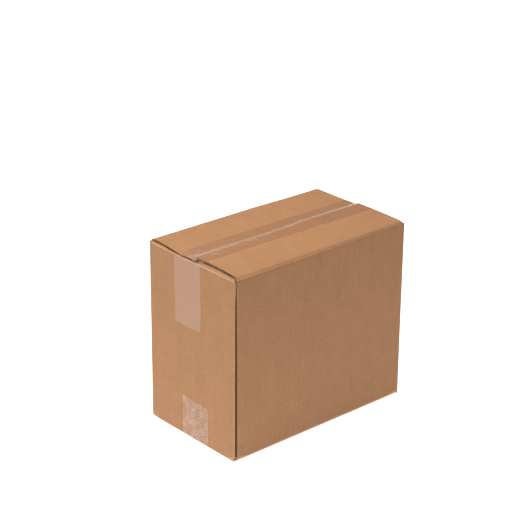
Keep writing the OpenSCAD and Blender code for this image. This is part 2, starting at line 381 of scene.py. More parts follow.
class Blank:
    """The flat blank, and the folds that make a carton of it.

    It lies in the near side's plane, with its outside forward.
    """

    PANELS = ("side", "end", "side", "end")
    # Place of a long upper flap's crease within its fold, from 0 on the panel to 1 on the flap
    CREASE_AT = 1 / 3
    # Distance from a fold or a flap's end to the first row of the mesh beside it
    BESIDE = 1.6 * MM
    # Film of glue between the tab and the end panel
    GLUE = 0.05 * MM
    # How far the joint's gape reaches from it, and how far the rise of a flap reaches below its crease
    JOINT_REACH = 12 * MM
    RISE_REACH = 25 * MM
    # Share of the corner reach at the joint's top, where the tab's fold meets the near side's crease
    JOINT_CORNER = 0.7

    def __init__(self, shape):
        self.shape = shape
        self.s = shape.s
        self.bm = bmesh.new()
        self.chord = 2 * math.sin(math.pi / 4 / self.s.fold_steps)
        self.plan()
        self.cut()
        self.tag()

    def arc(self, start, radius, way=1):
        """Lines of a fold that starts at a place, in the way that it is folded."""
        return [start + way * self.chord * radius * i for i in range(self.s.fold_steps + 1)]

    def plan(self):
        """Places of the panels and folds along the flat blank."""
        s, shape = self.s, self.shape
        radius = s.upright_fold
        left = -shape.end + s.board + self.GLUE + radius
        spans = [shape.end - radius - left, s.width - 2 * radius, s.length - 2 * radius]
        spans.append(s.width - radius - s.joint_gap)
        self.folds, self.panels = [self.arc(left, radius, -1)[::-1]], []
        u = left
        for i, span in enumerate(spans):
            self.panels.append((u, u + span))
            if i < 3:
                self.folds.append(self.arc(u + span, radius))
            u = self.folds[-1][-1]
        self.tab_edge = self.folds[0][0] - (s.tab - radius)
        flap = (shape.flap_x, shape.flap_y)
        self.flaps = []
        for i, (low, high) in enumerate(self.panels):
            if i == 0:
                span = (low, flap[0])
            elif i == 3:
                span = (low + shape.side - radius - flap[1], high)
            else:
                middle, half = (low + high) / 2, flap[i % 2]
                span = (middle - half, middle + half)
            self.flaps.append(span)

    def fold_radii(self, kind):
        """Outer radii of the upper and the lower folds of a panel's flaps."""
        if kind == "side":
            return self.s.upper_fold, self.s.lower_fold
        return self.s.short_fold, self.s.short_fold

    def panel_lines(self, i):
        """Lines across a panel, close together beside its folds and flap ends."""
        low, high = self.panels[i]
        first, last = self.flaps[i]
        near = self.BESIDE
        last = min(last, high)
        stops = [first, first + near, *stations(first + near, last - near, self.s.row), last]
        if high - last > WITHIN:
            stops.append(high)
        return [u for u in stops if u > low + AT_LINE]

    def cut(self):
        """The flat board: a band of panels, and a flap above and below each."""
        s, shape, bm = self.s, self.shape, self.bm
        origin = Vector((0, -shape.side, 0))
        near = self.BESIDE
        rows = [shape.low + near, *stations(shape.low + near, shape.high - near, s.row), shape.high]
        row = first_row(bm, origin + X_AXIS * self.tab_edge, Z_AXIS, shape.low, rows)
        stops = stations(self.tab_edge, self.folds[0][0], s.row) + self.folds[0][1:]
        for i in range(4):
            stops += self.panel_lines(i)
            if i < 3:
                stops += self.folds[i + 1][1:]
        extruded_to(bm, row, X_AXIS, self.tab_edge, stops)
        for i, kind in enumerate(self.PANELS):
            low_crease, high_crease = shape.crease[kind]
            upper, lower = self.fold_radii(kind)
            reach = shape.long_reach if kind == "side" else shape.short_reach
            for way, crease, radius, edge in (
                (1, high_crease, upper, shape.high),
                (-1, low_crease, lower, shape.low),
            ):
                bend = self.arc(crease, radius, way)
                flat = reach - radius
                stops = [crease] if abs(crease - edge) > AT_LINE else []
                stops += bend[1:]
                stops += [bend[-1] + way * d for d in [near, *stations(near, flat - near, s.row), flat]]
                extruded_to(bm, self.flap_root(i, edge), Z_AXIS, edge, stops)
        self.lengthen_joint_flaps()

    def lengthen_joint_flaps(self):
        """The near side's flaps run on past the tab's fold, which the slots set free below them."""
        low, high = self.shape.crease["side"]
        start = self.panels[0][0]
        edges = [
            e
            for e in self.bm.edges
            if e.is_boundary
            and all(
                abs(v.co.x - start) < AT_LINE and not low + AT_LINE < v.co.z < high - AT_LINE for v in e.verts
            )
        ]
        extruded_to(self.bm, edges, X_AXIS, start, [-self.shape.flap_x])

    def flap_root(self, i, edge):
        """The free edges of a panel at its crease, between the slots."""
        low, high = (u - WITHIN * w for u, w in zip(self.flaps[i], (1, -1)))
        return [
            e
            for e in self.bm.edges
            if e.is_boundary and all(abs(v.co.z - edge) < AT_LINE and low <= v.co.x <= high for v in e.verts)
        ]

    def tag(self):
        """Every point keeps its place on the flat blank, and how much a fold has stretched it, which also
        carries a painted highlight along the upper creases.
        """
        bm = self.bm
        self.place = bm.verts.layers.float_vector.new("blank_place")
        self.wear_and_highlight = bm.verts.layers.float.new("wear_and_highlight")
        for v in bm.verts:
            v[self.place] = (v.co.x, v.co.z, 0)

    def turn(self, lines, pick, axis, angle, way):
        """Folds what lies beyond a set of lines, from the furthest line back, a part of the angle at each."""
        shape = self.shape
        steps = len(lines) - 1
        order = sorted(lines, key=lambda place: -way * place)
        upright = axis == Z_AXIS
        for i, line in enumerate(order):
            share = 0.5 / steps if i in (0, steps) else 1 / steps
            centre = Vector((line, -shape.side, 0)) if upright else Vector((0, -shape.side, line))
            along = 0 if upright else 1
            moved = [v for v in self.bm.verts if way * (v[self.place][along] - line) > AT_LINE and pick(v)]
            turned = Matrix.Rotation(angle * share, 3, axis)
            bmesh.ops.rotate(self.bm, verts=moved, cent=centre, matrix=turned)

    def fold(self):
        """Folds the flaps in and the panels round, as the box is made."""
        shape = self.shape
        for i, kind in enumerate(self.PANELS):
            low_crease, high_crease = shape.crease[kind]
            upper, lower = self.fold_radii(kind)
            first, last = self.flaps[i]
            first = min(first, -shape.flap_x) if i == 0 else first

            def on_panel(v, first=first - WITHIN, last=last + WITHIN):
                return first <= v[self.place][0] <= last

            self.turn(self.arc(high_crease, upper), on_panel, X_AXIS, -math.pi / 2, 1)
            self.turn(self.arc(low_crease, lower, -1), on_panel, X_AXIS, math.pi / 2, -1)
        for lines in self.folds[:0:-1]:
            self.turn(lines, lambda v: True, Z_AXIS, math.pi / 2, 1)

        def on_shaft(v):
            return shape.low - WITHIN <= v[self.place][1] <= shape.high + WITHIN

        self.turn(self.folds[0], on_shaft, Z_AXIS, -math.pi / 2, -1)

    def panel_of(self, v):
        """Index of the panel that a point belongs to, or None on the tab."""
        u = v[self.place][0]
        for i in range(4):
            if u <= self.panels[i][1] + WITHIN:
                return i if u >= self.folds[0][0] - WITHIN else None
        return 3

    def handle(self):
        """Moves the folded board from its perfect place to where handling has left it."""
        s, shape = self.s, self.shape
        radius = s.upright_fold
        for v in self.bm.verts:
            u, w, _ = v[self.place]
            i = self.panel_of(v)
            if i is None:
                self.draw_back_tab(v)
                continue
            kind = self.PANELS[i]
            low_crease, high_crease = shape.crease[kind]
            x, y, z = v.co
            if low_crease <= w <= high_crease:
                if kind == "side" and abs(x) < shape.end - radius:
                    v.co.y -= math.copysign(shape.side_dish(x, z), y)
                elif kind == "end" and abs(y) < shape.side - radius:
                    v.co.x -= math.copysign(shape.end_dish(y, z), x)
            if i == 0 and u < self.panels[0][0] + self.JOINT_REACH and low_crease <= w <= high_crease:
                from_fold = u - self.panels[0][0]
                v.co.x += shape.joint_gape(z) * ease(1 - from_fold / self.JOINT_REACH)
                v.co.y += 0.25 * shape.joint_gape(z) * ease(1 - from_fold / (self.JOINT_REACH / 2))
            if kind == "side" and w > high_crease + WITHIN:
                v.co.y -= shape.seam_shift(x) * (1 - abs(y) / shape.side)
            if i == 3:
                beside = ease(1 - (self.panels[3][1] - u) / self.JOINT_REACH)
                over_end = 1 - ease((shape.end - abs(x)) / (4 * MM))
                v.co.y -= shape.joint_shift(z) * beside * over_end
            v.co.z += self.rise_at(i, v, w - high_crease)
            self.lengthen_corner(v, u, w)
            self.wear_and_highlight_at(v, i, w)
        self.taper_tab()

    def lengthen_corner(self, v, u, w):
        """The slots end at the score lines, so the upright folds run on past where the flaps' folds start."""
        shape = self.shape
        between = all(not first + WITHIN < u < last - WITHIN for first, last in self.flaps)
        round_it = any(lines[0] - WITHIN < u < lines[-1] + WITHIN for lines in self.folds[1:])
        round_tab = self.folds[0][0] - WITHIN < u < self.folds[0][-1] - WITHIN
        if abs(u - self.panels[0][0]) < WITHIN and abs(w - shape.high) < WITHIN:
            v.co.z += self.JOINT_CORNER * self.s.corner_reach
        elif between and (round_it or round_tab):
            if abs(w - shape.high) < WITHIN:
                v.co.z += self.s.corner_reach
            elif abs(w - shape.low) < WITHIN:
                v.co.z -= self.s.corner_reach

    def rise_at(self, i, v, beyond):
        """Rise of a point near or past its upper crease."""
        shape = self.shape
        x, y, _ = v.co
        share = ease((beyond + self.RISE_REACH) / self.RISE_REACH)
        if share <= 0:
            return 0.0
        if i == 0:
            return shape.near_lid_rise(x, y) if beyond > 0 else 0.0
        if i == 2:
            return shape.far_lid_rise(x, y if beyond > 0 else shape.side) * share
        if beyond > 0:
            return shape.short_flap_rise(x, y)
        return (shape.end_crest(y) if i == 3 else shape.FAR_CREST * shape.end_crest(-y)) * share

    def draw_back_tab(self, v):
        """Moves the tab's fold back by the joint's gape, and less towards the tab's free edge."""
        gape = self.shape.joint_gape(v.co.z)
        v.co.y += 0.25 * gape * ease(1 - (v.co.y + self.shape.side) / (8 * MM))
        v.co.x += gape * ease(1 - (v.co.y + self.shape.side - self.s.upright_fold) / (22 * MM))

    def taper_tab(self):
        """Draws the tab's ends together towards its free edge."""
        middle = (self.shape.low + self.shape.high) / 2
        half = self.shape.high - middle
        for v in self.bm.verts:
            past = (self.folds[0][0] - v[self.place][0]) / (self.folds[0][0] - self.tab_edge)
            if past > 0:
                v.co.z = middle + (v.co.z - middle) * (1 - past * self.s.tab_taper / half)

    def wear_and_highlight_at(self, v, i, w):
        """How stretched or rubbed the liner is, with a painted highlight along the upper creases: most on the
        folds, and on the corners that carry the box.
        """
        shape = self.shape
        kind = self.PANELS[i]
        low_crease, high_crease = shape.crease[kind]
        x, y, z = v.co
        fold = 0.0
        # t is a place on the fold's round, from 0 to 1, and line the place where the rubbing and the painted
        # highlight are at their most
        if -WITHIN < w - high_crease < 7 * MM:
            radius = self.s.upper_fold if kind == "side" else self.s.short_fold
            t = (w - high_crease) / (radius * math.pi / 2)
            # On the upper creases the narrow bright line is partly rubbed fibres, partly a painted highlight
            line, most = (self.CREASE_AT, 0.9 - 0.4 * shape.along(x)) if kind == "side" else (0.45, 1.0)
            fold = most * max(0.0, 1 - abs(t - line) / (0.5 if kind == "side" else 0.32))
        if -WITHIN < low_crease - w < 10 * MM:
            fold = 0.25
        upright = min(abs(v[self.place][0] - lines[len(lines) // 2]) for lines in self.folds)
        if upright < 2 * MM:
            fold = max(fold, 0.2 * (1 - upright / (2 * MM)))
        corner = math.hypot(shape.end - abs(x), shape.side - abs(y))
        scuff = ease(1 - z / (22 * MM)) * ease(1 - corner / (26 * MM))
        v[self.wear_and_highlight] = min(1.0, fold + 0.75 * scuff)

    def press_long_fold(self, v, w):
        """Presses the round of a long upper fold to a crease with a slope above it."""
        s = self.s
        start = self.shape.crease["side"][1]
        t = (w - start) / (s.upper_fold * math.pi / 2)
        if not 0 < t < 1:
            return
        angle = t * math.pi / 2
        rounded = (s.upper_fold * (1 - math.cos(angle)), s.upper_fold * math.sin(angle))
        crease = (0.0, s.upper_fold - s.crease_drop)
        if t < self.CREASE_AT:
            pressed = (0.0, crease[1] * t / self.CREASE_AT)
        else:
            k = (t - self.CREASE_AT) / (1 - self.CREASE_AT)
            pressed = (s.upper_fold * k, crease[1] + s.crease_drop * k)
        v.co.y -= math.copysign(pressed[0] - rounded[0], v.co.y)
        v.co.z += pressed[1] - rounded[1]

    def square_fold(self, v, w):
        """Presses a side's upper fold. Squares an end's folds, and hangs its lower one as a bead."""
        s, shape = self.s, self.shape
        i = self.panel_of(v)
        if i is not None and self.PANELS[i] == "side":
            self.press_long_fold(v, w)
        if i is None or self.PANELS[i] != "end":
            return
        low_crease, high_crease = shape.crease["end"]
        quarter = s.short_fold * math.pi / 2
        above, below = (w - high_crease) / quarter, (low_crease - w) / quarter
        turned = max(above, below)
        if -WITHIN < turned < 1 + WITHIN:
            angle = min(max(turned, 0.0), 1.0) * math.pi / 2
            power = s.crease_square
            spread = (math.cos(angle) ** power + math.sin(angle) ** power) ** (-1 / power)
            up = 1 if above > below else -1
            out = Vector((math.copysign(math.cos(angle), v.co.x), 0, math.sin(angle) * up))
            v.co += out * s.short_fold * (spread - 1)
        if below > -WITHIN:
            v.co.z -= s.bead * ease((1 - below) * 6)
        elif w < low_crease + 12 * MM:
            v.co.z -= s.bead * ease(1 - (w - low_crease) / (12 * MM))

    def at_fold(self, places):
        """True for the cut edges in the rounds of the long flaps' folds, which are pressed shut."""
        low, high = self.shape.crease["side"]
        bend = 1.01 * self.s.upper_fold * math.pi / 2
        return all(-WITHIN < p[1] - high < bend or -WITHIN < low - p[1] < bend for p in places)

    def crush_end(self, v, w):
        """Lifts the inner face of a long upper flap off the short flap that it is pressed on."""
        shape = self.shape
        x, y, z = v.co
        over_short = shape.end - abs(x) < shape.short_reach
        on_side = self.PANELS[self.panel_of(v) or 0] == "side"
        if on_side and w > shape.crease["side"][1] + 1 * MM and over_short:
            floor = shape.short_top + shape.short_flap_rise(x, y) + self.s.crush
            v.co.z = min(max(z, floor), z + 2.4 * MM)

    def thicken(self):
        """Gives the board its thickness inwards, and its cut edges their materials."""
        bm = self.bm
        outer = give_thickness(bm, Z_AXIS, self.s.board)
        for v in bm.verts:
            u, w, _ = v[self.place]
            if v in outer:
                self.square_fold(v, w)
            else:
                v[self.place] = (u, w, 1)
                self.crush_end(v, w)
        for f in bm.faces:
            depths = {round(v[self.place][2]) for v in f.verts}
            if len(depths) == 2:
                places = [v[self.place] for v in f.verts]
                run_u = max(p[0] for p in places) - min(p[0] for p in places)
                run_w = max(p[1] for p in places) - min(p[1] for p in places)
                f.material_index = CUT_ACROSS if run_u > run_w else CUT_ALONG
                # The end panel's free edge: a rubbed cut edge, lightened as a painted highlight
                if max(p[0] for p in places) > self.panels[3][1] - WITHIN:
                    f.material_index = CUT_AT_JOINT_HIGHLIT
                if self.at_fold(places):
                    f.material_index = LINER
                for e in f.edges:
                    if len({round(v[self.place][2]) for v in e.verts}) == 1:
                        e.smooth = False
            # The inner faces and the tab take the inner colour, darkened as painted shade for the joint's gap
            elif depths == {1} or max(v[self.place][0] for v in f.verts) < self.folds[0][2]:
                f.material_index = INNER_SHADED
            f.smooth = True
        bmesh.ops.recalc_face_normals(bm, faces=bm.faces)


# The tape


class Strip:
    """A strip of tape, drawn flat and then laid on the board."""

    def __init__(self, tape, stops):
        """stops are the places of the mesh rows along the strip, which runs from the near end's tail."""
        self.tape = tape
        self.bm = bmesh.new()
        half = tape.width / 2
        across = stations(-half, half, tape.width / tape.columns)
        row = first_row(self.bm, X_AXIS * stops[0], Y_AXIS, -half, across)
        extruded_to(self.bm, row, X_AXIS, stops[0], stops[1:])
        self.place = self.bm.verts.layers.float_vector.new("tape_place")
        self.loose = self.bm.verts.layers.float.new("loose")
        for v in self.bm.verts:
            v[self.place] = (v.co.x, v.co.y, 0)

    def lay(self, where):
        """Moves each point to where the function says, given its place along and across the strip."""
        for v in self.bm.verts:
            s, t, _ = v[self.place]
            v.co, v[self.loose] = where(s, t)

    def thicken(self, outward):
        """Gives the film its thickness, with crisp edges."""
        bm = self.bm
        outer = give_thickness(bm, outward, self.tape.film)
        for v in bm.verts:
            if v not in outer:
                s, t, _ = v[self.place]
                v[self.place] = (s, t, 1)
        for f in bm.faces:
            f.smooth = True
            if len({round(v[self.place][2]) for v in f.verts}) == 2:
                for e in f.edges:
                    e.smooth = False
        bmesh.ops.recalc_face_normals(bm, faces=bm.faces)


def tooth_wave(t, pitch):
    """Triangle wave from 0 to 1."""
    phase = (t / pitch) % 1.0
    return 1 - abs(2 * phase - 1)


def ridge(s, t, start, finish, width):
    """Height from 0 to 1 of a soft crease that runs from one place on the strip to another."""
    ax, ay = start
    dx, dy = finish[0] - ax, finish[1] - ay
    long = dx * dx + dy * dy
    k = min(max(((s - ax) * dx + (t - ay) * dy) / long, 0.0), 1.0)
    off = math.hypot(s - ax - k * dx, t - ay - k * dy)
    taper = math.sin(math.pi * min(max(k, 0.04), 0.96)) ** 0.5
    return taper * math.exp(-((off / width) ** 2))


class UpperStrip:
    """Where the upper strip lies."""

    # Creases in the film on the lid: from and to (along the box, across it) and height, in millimetres
    CREASES = (
        ((-118, -4), (-104, -17), 0.26),
        ((-110, -3), (-94, -14), 0.24),
        ((-99, -3), (-80, -12), 0.2),
        ((-92, -5), (-68, -9), 0.2),
        ((-78, -3), (-60, -15), 0.24),
        ((-66, -4), (-44, -12), 0.22),
        ((-52, -3), (-38, -16), 0.2),
        ((-34, -4), (-12, -9), 0.16),
        ((12, -3), (34, -8), 0.12),
        ((-126, 6), (-108, 17), 0.18),
        ((-124, -8), (-116, -20), 0.22),
    )
    # The height's factor and the width of those creases, and the most that all wrinkles rise, in millimetres
    CREASE_RISE, CREASE_WIDTH, MOST_RIPPLE = 1.8, 0.9, 0.8
    # How far before the sprung flap's edge the film leaves it, and the share of the bridge in which it bends
    LIP, BEND = 0.8 * MM, 0.10
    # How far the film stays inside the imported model's top
    CLEAR = 0.03 * MM

    def __init__(self, shape, tape):
        self.shape = shape
        self.tape = tape
        self.face = tape.stand_off + tape.film
        self.lid_half = shape.flap_x + 0.1 * MM
        self.turn_z = shape.short_top - 0.3 * MM
        self.patch = 7 * MM
        self.tail_top = self.lid_half + self.patch
        self.stop = self.tail_top + self.turn_z - (shape.crease["end"][1] - tape.upper_tail)

    def stops(self):
        """Places of the mesh rows along the strip, closest together at the near end."""
        lid, top, stop = self.lid_half, self.tail_top, self.stop
        return [
            -stop,
            *stations(-stop, -top, 2.4 * MM),
            *stations(-top, -lid, 0.7 * MM),
            *stations(-lid, -40 * MM, 0.9 * MM),
            *stations(-40 * MM, lid, 1.4 * MM),
            *stations(lid, top, 0.8 * MM),
            *stations(top, stop, 2.6 * MM),
        ]

    def lid_height(self, x, y):
        """Height of the film's outer face over the lid, and how loose it is there."""
        shape, lid = self.shape, self.shape.s.lid
        edge = shape.seam - shape.seam_shift(x)
        near_end = ease(1 - (x + shape.end) / (30 * MM))
        step = shape.near_lid_rise(x, edge) - shape.far_lid_rise(x, edge)
        bridge = step / self.tape.bridge_slope * (1 + 0.25 * wander(x, 0, 0.018, 2.2)) + 0.6 * MM
        if y <= edge - self.LIP:
            height, loose = lid + shape.near_lid_rise(x, y), 0.0
        else:
            top = lid + shape.near_lid_rise(x, edge)
            tau = (y - edge + self.LIP) / bridge
            floor = lid + shape.far_lid_rise(x, y)
            fall = 1 - min(tau, 1.0)
            if tau < self.BEND:
                fall = 1 - tau * tau / (2 * self.BEND)
            elif tau < 1:
                fall = (1 - tau) * (1 - self.BEND / 2) / (1 - self.BEND)
            height = floor + (top - floor) * fall
            loose = max(0.0, 0.95 - 0.75 * tau) if tau < 1 else 0.0
        mm_x, mm_y = x / MM, y / MM
        creased = 0.0
        for start, finish, high in self.CREASES:
            if min(start[0], finish[0]) - 4 < mm_x < max(start[0], finish[0]) + 4:
                risen = self.CREASE_RISE * high * ridge(mm_x, mm_y, start, finish, self.CREASE_WIDTH)
                creased = max(creased, risen)
        flutter = 0.30 * near_end * abs(wander(x, y, 0.0036, 9.1))
        seam = math.exp(-(((mm_y - edge / MM) / 4.5) ** 2))
        flutter += 0.32 * seam * abs(wander(0.6 * x, y, 0.0042, 4.4))
        ripple = min(creased + flutter, self.MOST_RIPPLE) * MM
        loose = max(loose, min(1.6, creased * 4), 0.2 * near_end)
        return min(height + self.face + ripple, CAD_BOX[1].z - self.CLEAR), loose

    def centre(self, x):
        """Where the strip's middle lies across the lid."""
        return (0.2 - 2.2 * self.shape.along(x)) * MM

    def tail_centre(self, way):
        """The same on a tail, which steps aside over the end, less so over the far one."""
        step = self.tape.tail_step if way < 0 else 0.35 * self.tape.tail_step
        return self.centre(way * self.shape.end) + step

    def where(self, s, t):
        """Place of a point of the strip, and how loose the film is there."""
        shape, tape = self.shape, self.tape
        way = -1 if s < 0 else 1
        a = abs(s)
        if a <= self.lid_half:
            y = self.centre(s) + t
            z, loose = self.lid_height(s, y)
            return Vector((s, y, z)), loose
        out = shape.end + self.face
        if a >= self.tail_top:
            y = self.tail_centre(way) + t
            z = self.turn_z - (a - self.tail_top)
            z += tape.tooth_depth * tooth_wave(t, tape.tooth) * ease(1 - (self.stop - a) / (10 * MM))
            dish = shape.end_dish(y, z)
            return Vector((way * (out - dish), y, z)), 0.15 * ease(1 - (a - self.tail_top) / (12 * MM))
        k = (a - self.lid_half) / self.patch
        y0, y1 = self.centre(way * self.lid_half) + t, self.tail_centre(way) + t
        top, _ = self.lid_height(way * self.lid_half, y0)
        foot = self.turn_z + shape.end_crest(y1)
        start, finish = Vector((way * self.lid_half, y0, top)), Vector((way * out, y1, foot))
        point = start.lerp(finish, ease(k) * 0.35 + k * 0.65)
        crumple = abs(wander(y0, k * 0.006, 0.0042, 11.3)) + 0.6 * abs(wander(y0, k * 0.01, 0.0019, 13.9))
        lump = math.sin(math.pi * k) * crumple * (2.2 if way < 0 else 0.8) * MM
        point += Vector((way * 0.75, 0, 0.66)) * lump
        point.y += 0.8 * MM * math.sin(math.pi * k) * wander(y0, 0.3, 0.006, 17.0)
        point.x = way * min(abs(point.x), out)
        return point, min(1.0, 0.6 * crumple)


class LowerStrip:
    """Where the lower strip lies."""

    # How loose its film is where it leaves the floor and on its tails
    TAIL_LOOSE = 0.6

    def __init__(self, shape, tape):
        self.shape = shape
        self.tape = tape
        self.face = tape.stand_off + tape.film
        self.low_half = shape.flap_x
        self.turn_z = shape.s.base + 0.8 * MM
        self.patch = 6 * MM
        self.tail_low = self.low_half + self.patch
        self.stop = self.tail_low + shape.crease["end"][0] + tape.lower_tail - self.turn_z

    def stops(self):
        """Places of the mesh rows along the strip, closest together where it turns up."""
        low, foot, stop = self.low_half, self.tail_low, self.stop
        return [
            -stop,
            *stations(-stop, -foot, 2.4 * MM),
            *stations(-foot, -low, 1.2 * MM),
            *stations(-low, low, 4 * MM),
            *stations(low, foot, 1.2 * MM),
            *stations(foot, stop, 2.4 * MM),
        ]

    def where(self, s, t):
        """Place of a point of the strip, and how loose the film is there."""
        shape, tape = self.shape, self.tape
        way = -1 if s < 0 else 1
        a = abs(s)
        y = tape.lower_y + t
        under = shape.s.base - self.face
        if a <= self.low_half:
            return Vector((s, y, under)), 0.0
        out = shape.end + self.face
        if a >= self.tail_low:
            z = self.turn_z + (a - self.tail_low)
            ragged = (1.2 * wander(t, way, 0.006, 21.0) + 0.06 * t / MM) * MM
            ragged -= tape.tooth_depth * tooth_wave(t, tape.tooth)
            z += ragged * ease(1 - (self.stop - a) / (18 * MM))
            return Vector((way * (out - shape.end_dish(y, z)), y, z)), self.TAIL_LOOSE
        k = (a - self.low_half) / self.patch
        start, finish = Vector((way * self.low_half, y, under)), Vector((way * out, y, self.turn_z))
        return start.lerp(finish, k), self.TAIL_LOOSE


# Materials


class Tree:
    """Short ways to place nodes in a tree and join them."""

    def __init__(self, tree):
        self.tree = tree

    def put(self, kind, values=(), **settings):
        """Adds a node. values are pairs of an input's name or number and a number or an output socket."""
        node = self.tree.nodes.new(kind)
        for key, value in settings.items():
            setattr(node, key, value)
        for key, value in dict(values).items():
            self.feed(node.inputs[key], value)
        return node

    def feed(self, socket, value):
        """Joins an output to an input, or sets the input to a value."""
        if isinstance(value, bpy.types.NodeSocket):
            self.join(value, socket)
        else:
            socket.default_value = value

    def join(self, source, target):
        """Links an output to an input."""
        self.tree.links.new(source, target)

    def carried(self, name, output="Fac"):
        """What the piece's points carry under a name."""
        return self.put("ShaderNodeAttribute", attribute_name=name).outputs[output]

    def maths(self, operation, first, second=0.0, third=0.0, clamp=False):
        """Output of a maths node."""
        node = self.put("ShaderNodeMath", {0: first, 1: second, 2: third}, operation=operation)
        node.use_clamp = clamp
        return node.outputs[0]

    def scaled(self, vector, scale):
        """The vector times a scale for each axis."""
        return self.put("ShaderNodeVectorMath", {0: vector, 1: scale}, operation="MULTIPLY").outputs[0]

    def noise(self, vector, scale, detail=3.0, rough=0.5):
        """Noise over a vector."""
        values = {"Vector": vector, "Scale": scale, "Detail": detail, "Roughness": rough}
        return self.put("ShaderNodeTexNoise", values).outputs["Fac"]

    def grain(self, place, scale, detail=3.0, rough=0.5):
        """Noise with its own number of features for each metre along each axis of the place."""
        return self.noise(self.scaled(place, scale), 1.0, detail, rough)

    def total(self, parts):
        """Sum of (pattern, weight) pairs."""
        (first, weight), *rest = parts
        value = self.maths("MULTIPLY", first, weight)
        for pattern, weight in rest:
            value = self.maths("ADD", value, self.maths("MULTIPLY", pattern, weight))
        return value

    def relief(self, height, strength):
        """Normal of a surface with this height, in metres."""
        values = {"Height": height, "Strength": strength, "Distance": 1.0}
        return self.put("ShaderNodeBump", values).outputs["Normal"]

    def remap(self, value, low, high, to_low=0.0, to_high=1.0):
        """The value, moved from one range to another and held within it."""
        values = {"Value": value, "From Min": low, "From Max": high, "To Min": to_low, "To Max": to_high}
        return self.put("ShaderNodeMapRange", values).outputs["Result"]

    def mixed(self, share, first, second, blend="MIX"):
        """Two colours mixed by a share."""
        node = self.put("ShaderNodeMix", data_type="RGBA", blend_type=blend)
        # Of the node's inputs, 0 is the factor, and 6 and 7 are its two colours. Output 2 is the mixed colour
        for number, value in ((0, share), (6, first), (7, second)):
            self.feed(node.inputs[number], value)
        return node.outputs[2]


def new_group(name, inputs, outputs):
    """A shader node group with named sockets. inputs are (name, kind, default)."""
    group = bpy.data.node_groups.new(name, "ShaderNodeTree")
    for label, kind, default in inputs:
        socket = group.interface.new_socket(name=label, in_out="INPUT", socket_type=kind)
        if default is not None:
            socket.default_value = default
    for label, kind in outputs:
        group.interface.new_socket(name=label, in_out="OUTPUT", socket_type=kind)
    tree = Tree(group)
    return group, tree, tree.put("NodeGroupInput"), tree.put("NodeGroupOutput")


def rgba(colour):
    """The colour with full alpha."""
    return (*colour, 1.0)


def paper_group():
    """Kraft paper: fibres along the mill's way, clouds, flecks, and the ghosts of the flutes beneath."""
    group, tree, given, out = new_group(
        "Kraft paper",
        [
            ("Place", "NodeSocketVector", None),
            ("Colour", "NodeSocketColor", (0.4, 0.2, 0.1, 1)),
            ("Flute pitch", "NodeSocketFloat", 0.0078),
            ("Flute show", "NodeSocketFloat", 1.0),
            ("Clouds", "NodeSocketFloat", 1.0),
            ("Flecks", "NodeSocketFloat", 1.0),
        ],
        [("Colour", "NodeSocketColor"), ("Height", "NodeSocketFloat"), ("Roughness", "NodeSocketFloat")],
    )
    place = given.outputs["Place"]
    fibre = tree.grain(place, (260, 1500, 1), 4.0, 0.6)
    hair = tree.grain(place, (900, 420, 1), 3.0, 0.7)
    mottle = tree.grain(place, (330, 300, 1), 2.0, 0.5)
    clouds = tree.grain(place, (52, 38, 1), 5.0, 0.62)
    drift = tree.grain(place, (9, 6, 1), 2.0, 0.5)
    streak = tree.grain(place, (190, 7, 1), 3.0, 0.55)
    parts = tree.put("ShaderNodeSeparateXYZ", {0: place}).outputs
    phase = tree.maths("DIVIDE", parts[0], given.outputs["Flute pitch"])
    shaken = tree.maths("ADD", phase, tree.maths("MULTIPLY", drift, 0.7))
    wave = tree.maths("SINE", tree.maths("MULTIPLY", shaken, 2 * math.pi))
    patchy = tree.remap(tree.grain(place, (14, 5, 1), 2.0), 0.35, 0.65, 0.25, 1.0)
    ghost = tree.maths("MULTIPLY", tree.maths("MULTIPLY", wave, patchy), given.outputs["Flute show"])

    tone = tree.maths("MULTIPLY_ADD", ghost, 0.014, 1.0)
    clouded = tree.maths("MULTIPLY", given.outputs["Clouds"], 0.26)
    for pattern, strength in (
        (clouds, clouded),
        (drift, 0.08),
        (streak, 0.12),
        (fibre, 0.48),
        (hair, 0.40),
        (mottle, 0.26),
    ):
        tone = tree.maths("ADD", tone, tree.maths("MULTIPLY", tree.maths("SUBTRACT", pattern, 0.5), strength))
    bright = tree.put("ShaderNodeCombineXYZ", {0: tone, 1: tone, 2: tone}).outputs[0]
    base = tree.mixed(1.0, given.outputs["Colour"], bright, "MULTIPLY")

    speck = tree.put(
        "ShaderNodeTexVoronoi", {"Vector": tree.scaled(place, (420, 640, 1)), "Scale": 1.0, "Randomness": 1.0}
    )
    rare = tree.put("ShaderNodeSeparateXYZ", {0: speck.outputs["Color"]}).outputs
    dot = tree.remap(speck.outputs["Distance"], 0.12, 0.30, 1.0, 0.0)
    dark = tree.maths("MULTIPLY", dot, tree.remap(rare[0], 0.93, 0.97))
    light = tree.maths("MULTIPLY", dot, tree.remap(rare[1], 0.92, 0.97))
    dark = tree.maths("MULTIPLY", dark, tree.maths("MULTIPLY", given.outputs["Flecks"], 0.45))
    light = tree.maths("MULTIPLY", light, tree.maths("MULTIPLY", given.outputs["Flecks"], 0.35))
    base = tree.mixed(dark, base, (0.11, 0.055, 0.03, 1))
    base = tree.mixed(light, base, (0.58, 0.38, 0.23, 1))

    height = tree.total(((fibre, 0.030 * MM), (hair, 0.016 * MM), (clouds, 0.05 * MM), (ghost, 0.02 * MM)))
    tree.join(base, out.inputs["Colour"])
    tree.join(height, out.inputs["Height"])
    tree.join(tree.remap(fibre, 0.3, 0.7, 0.72, 0.88), out.inputs["Roughness"])
    return group


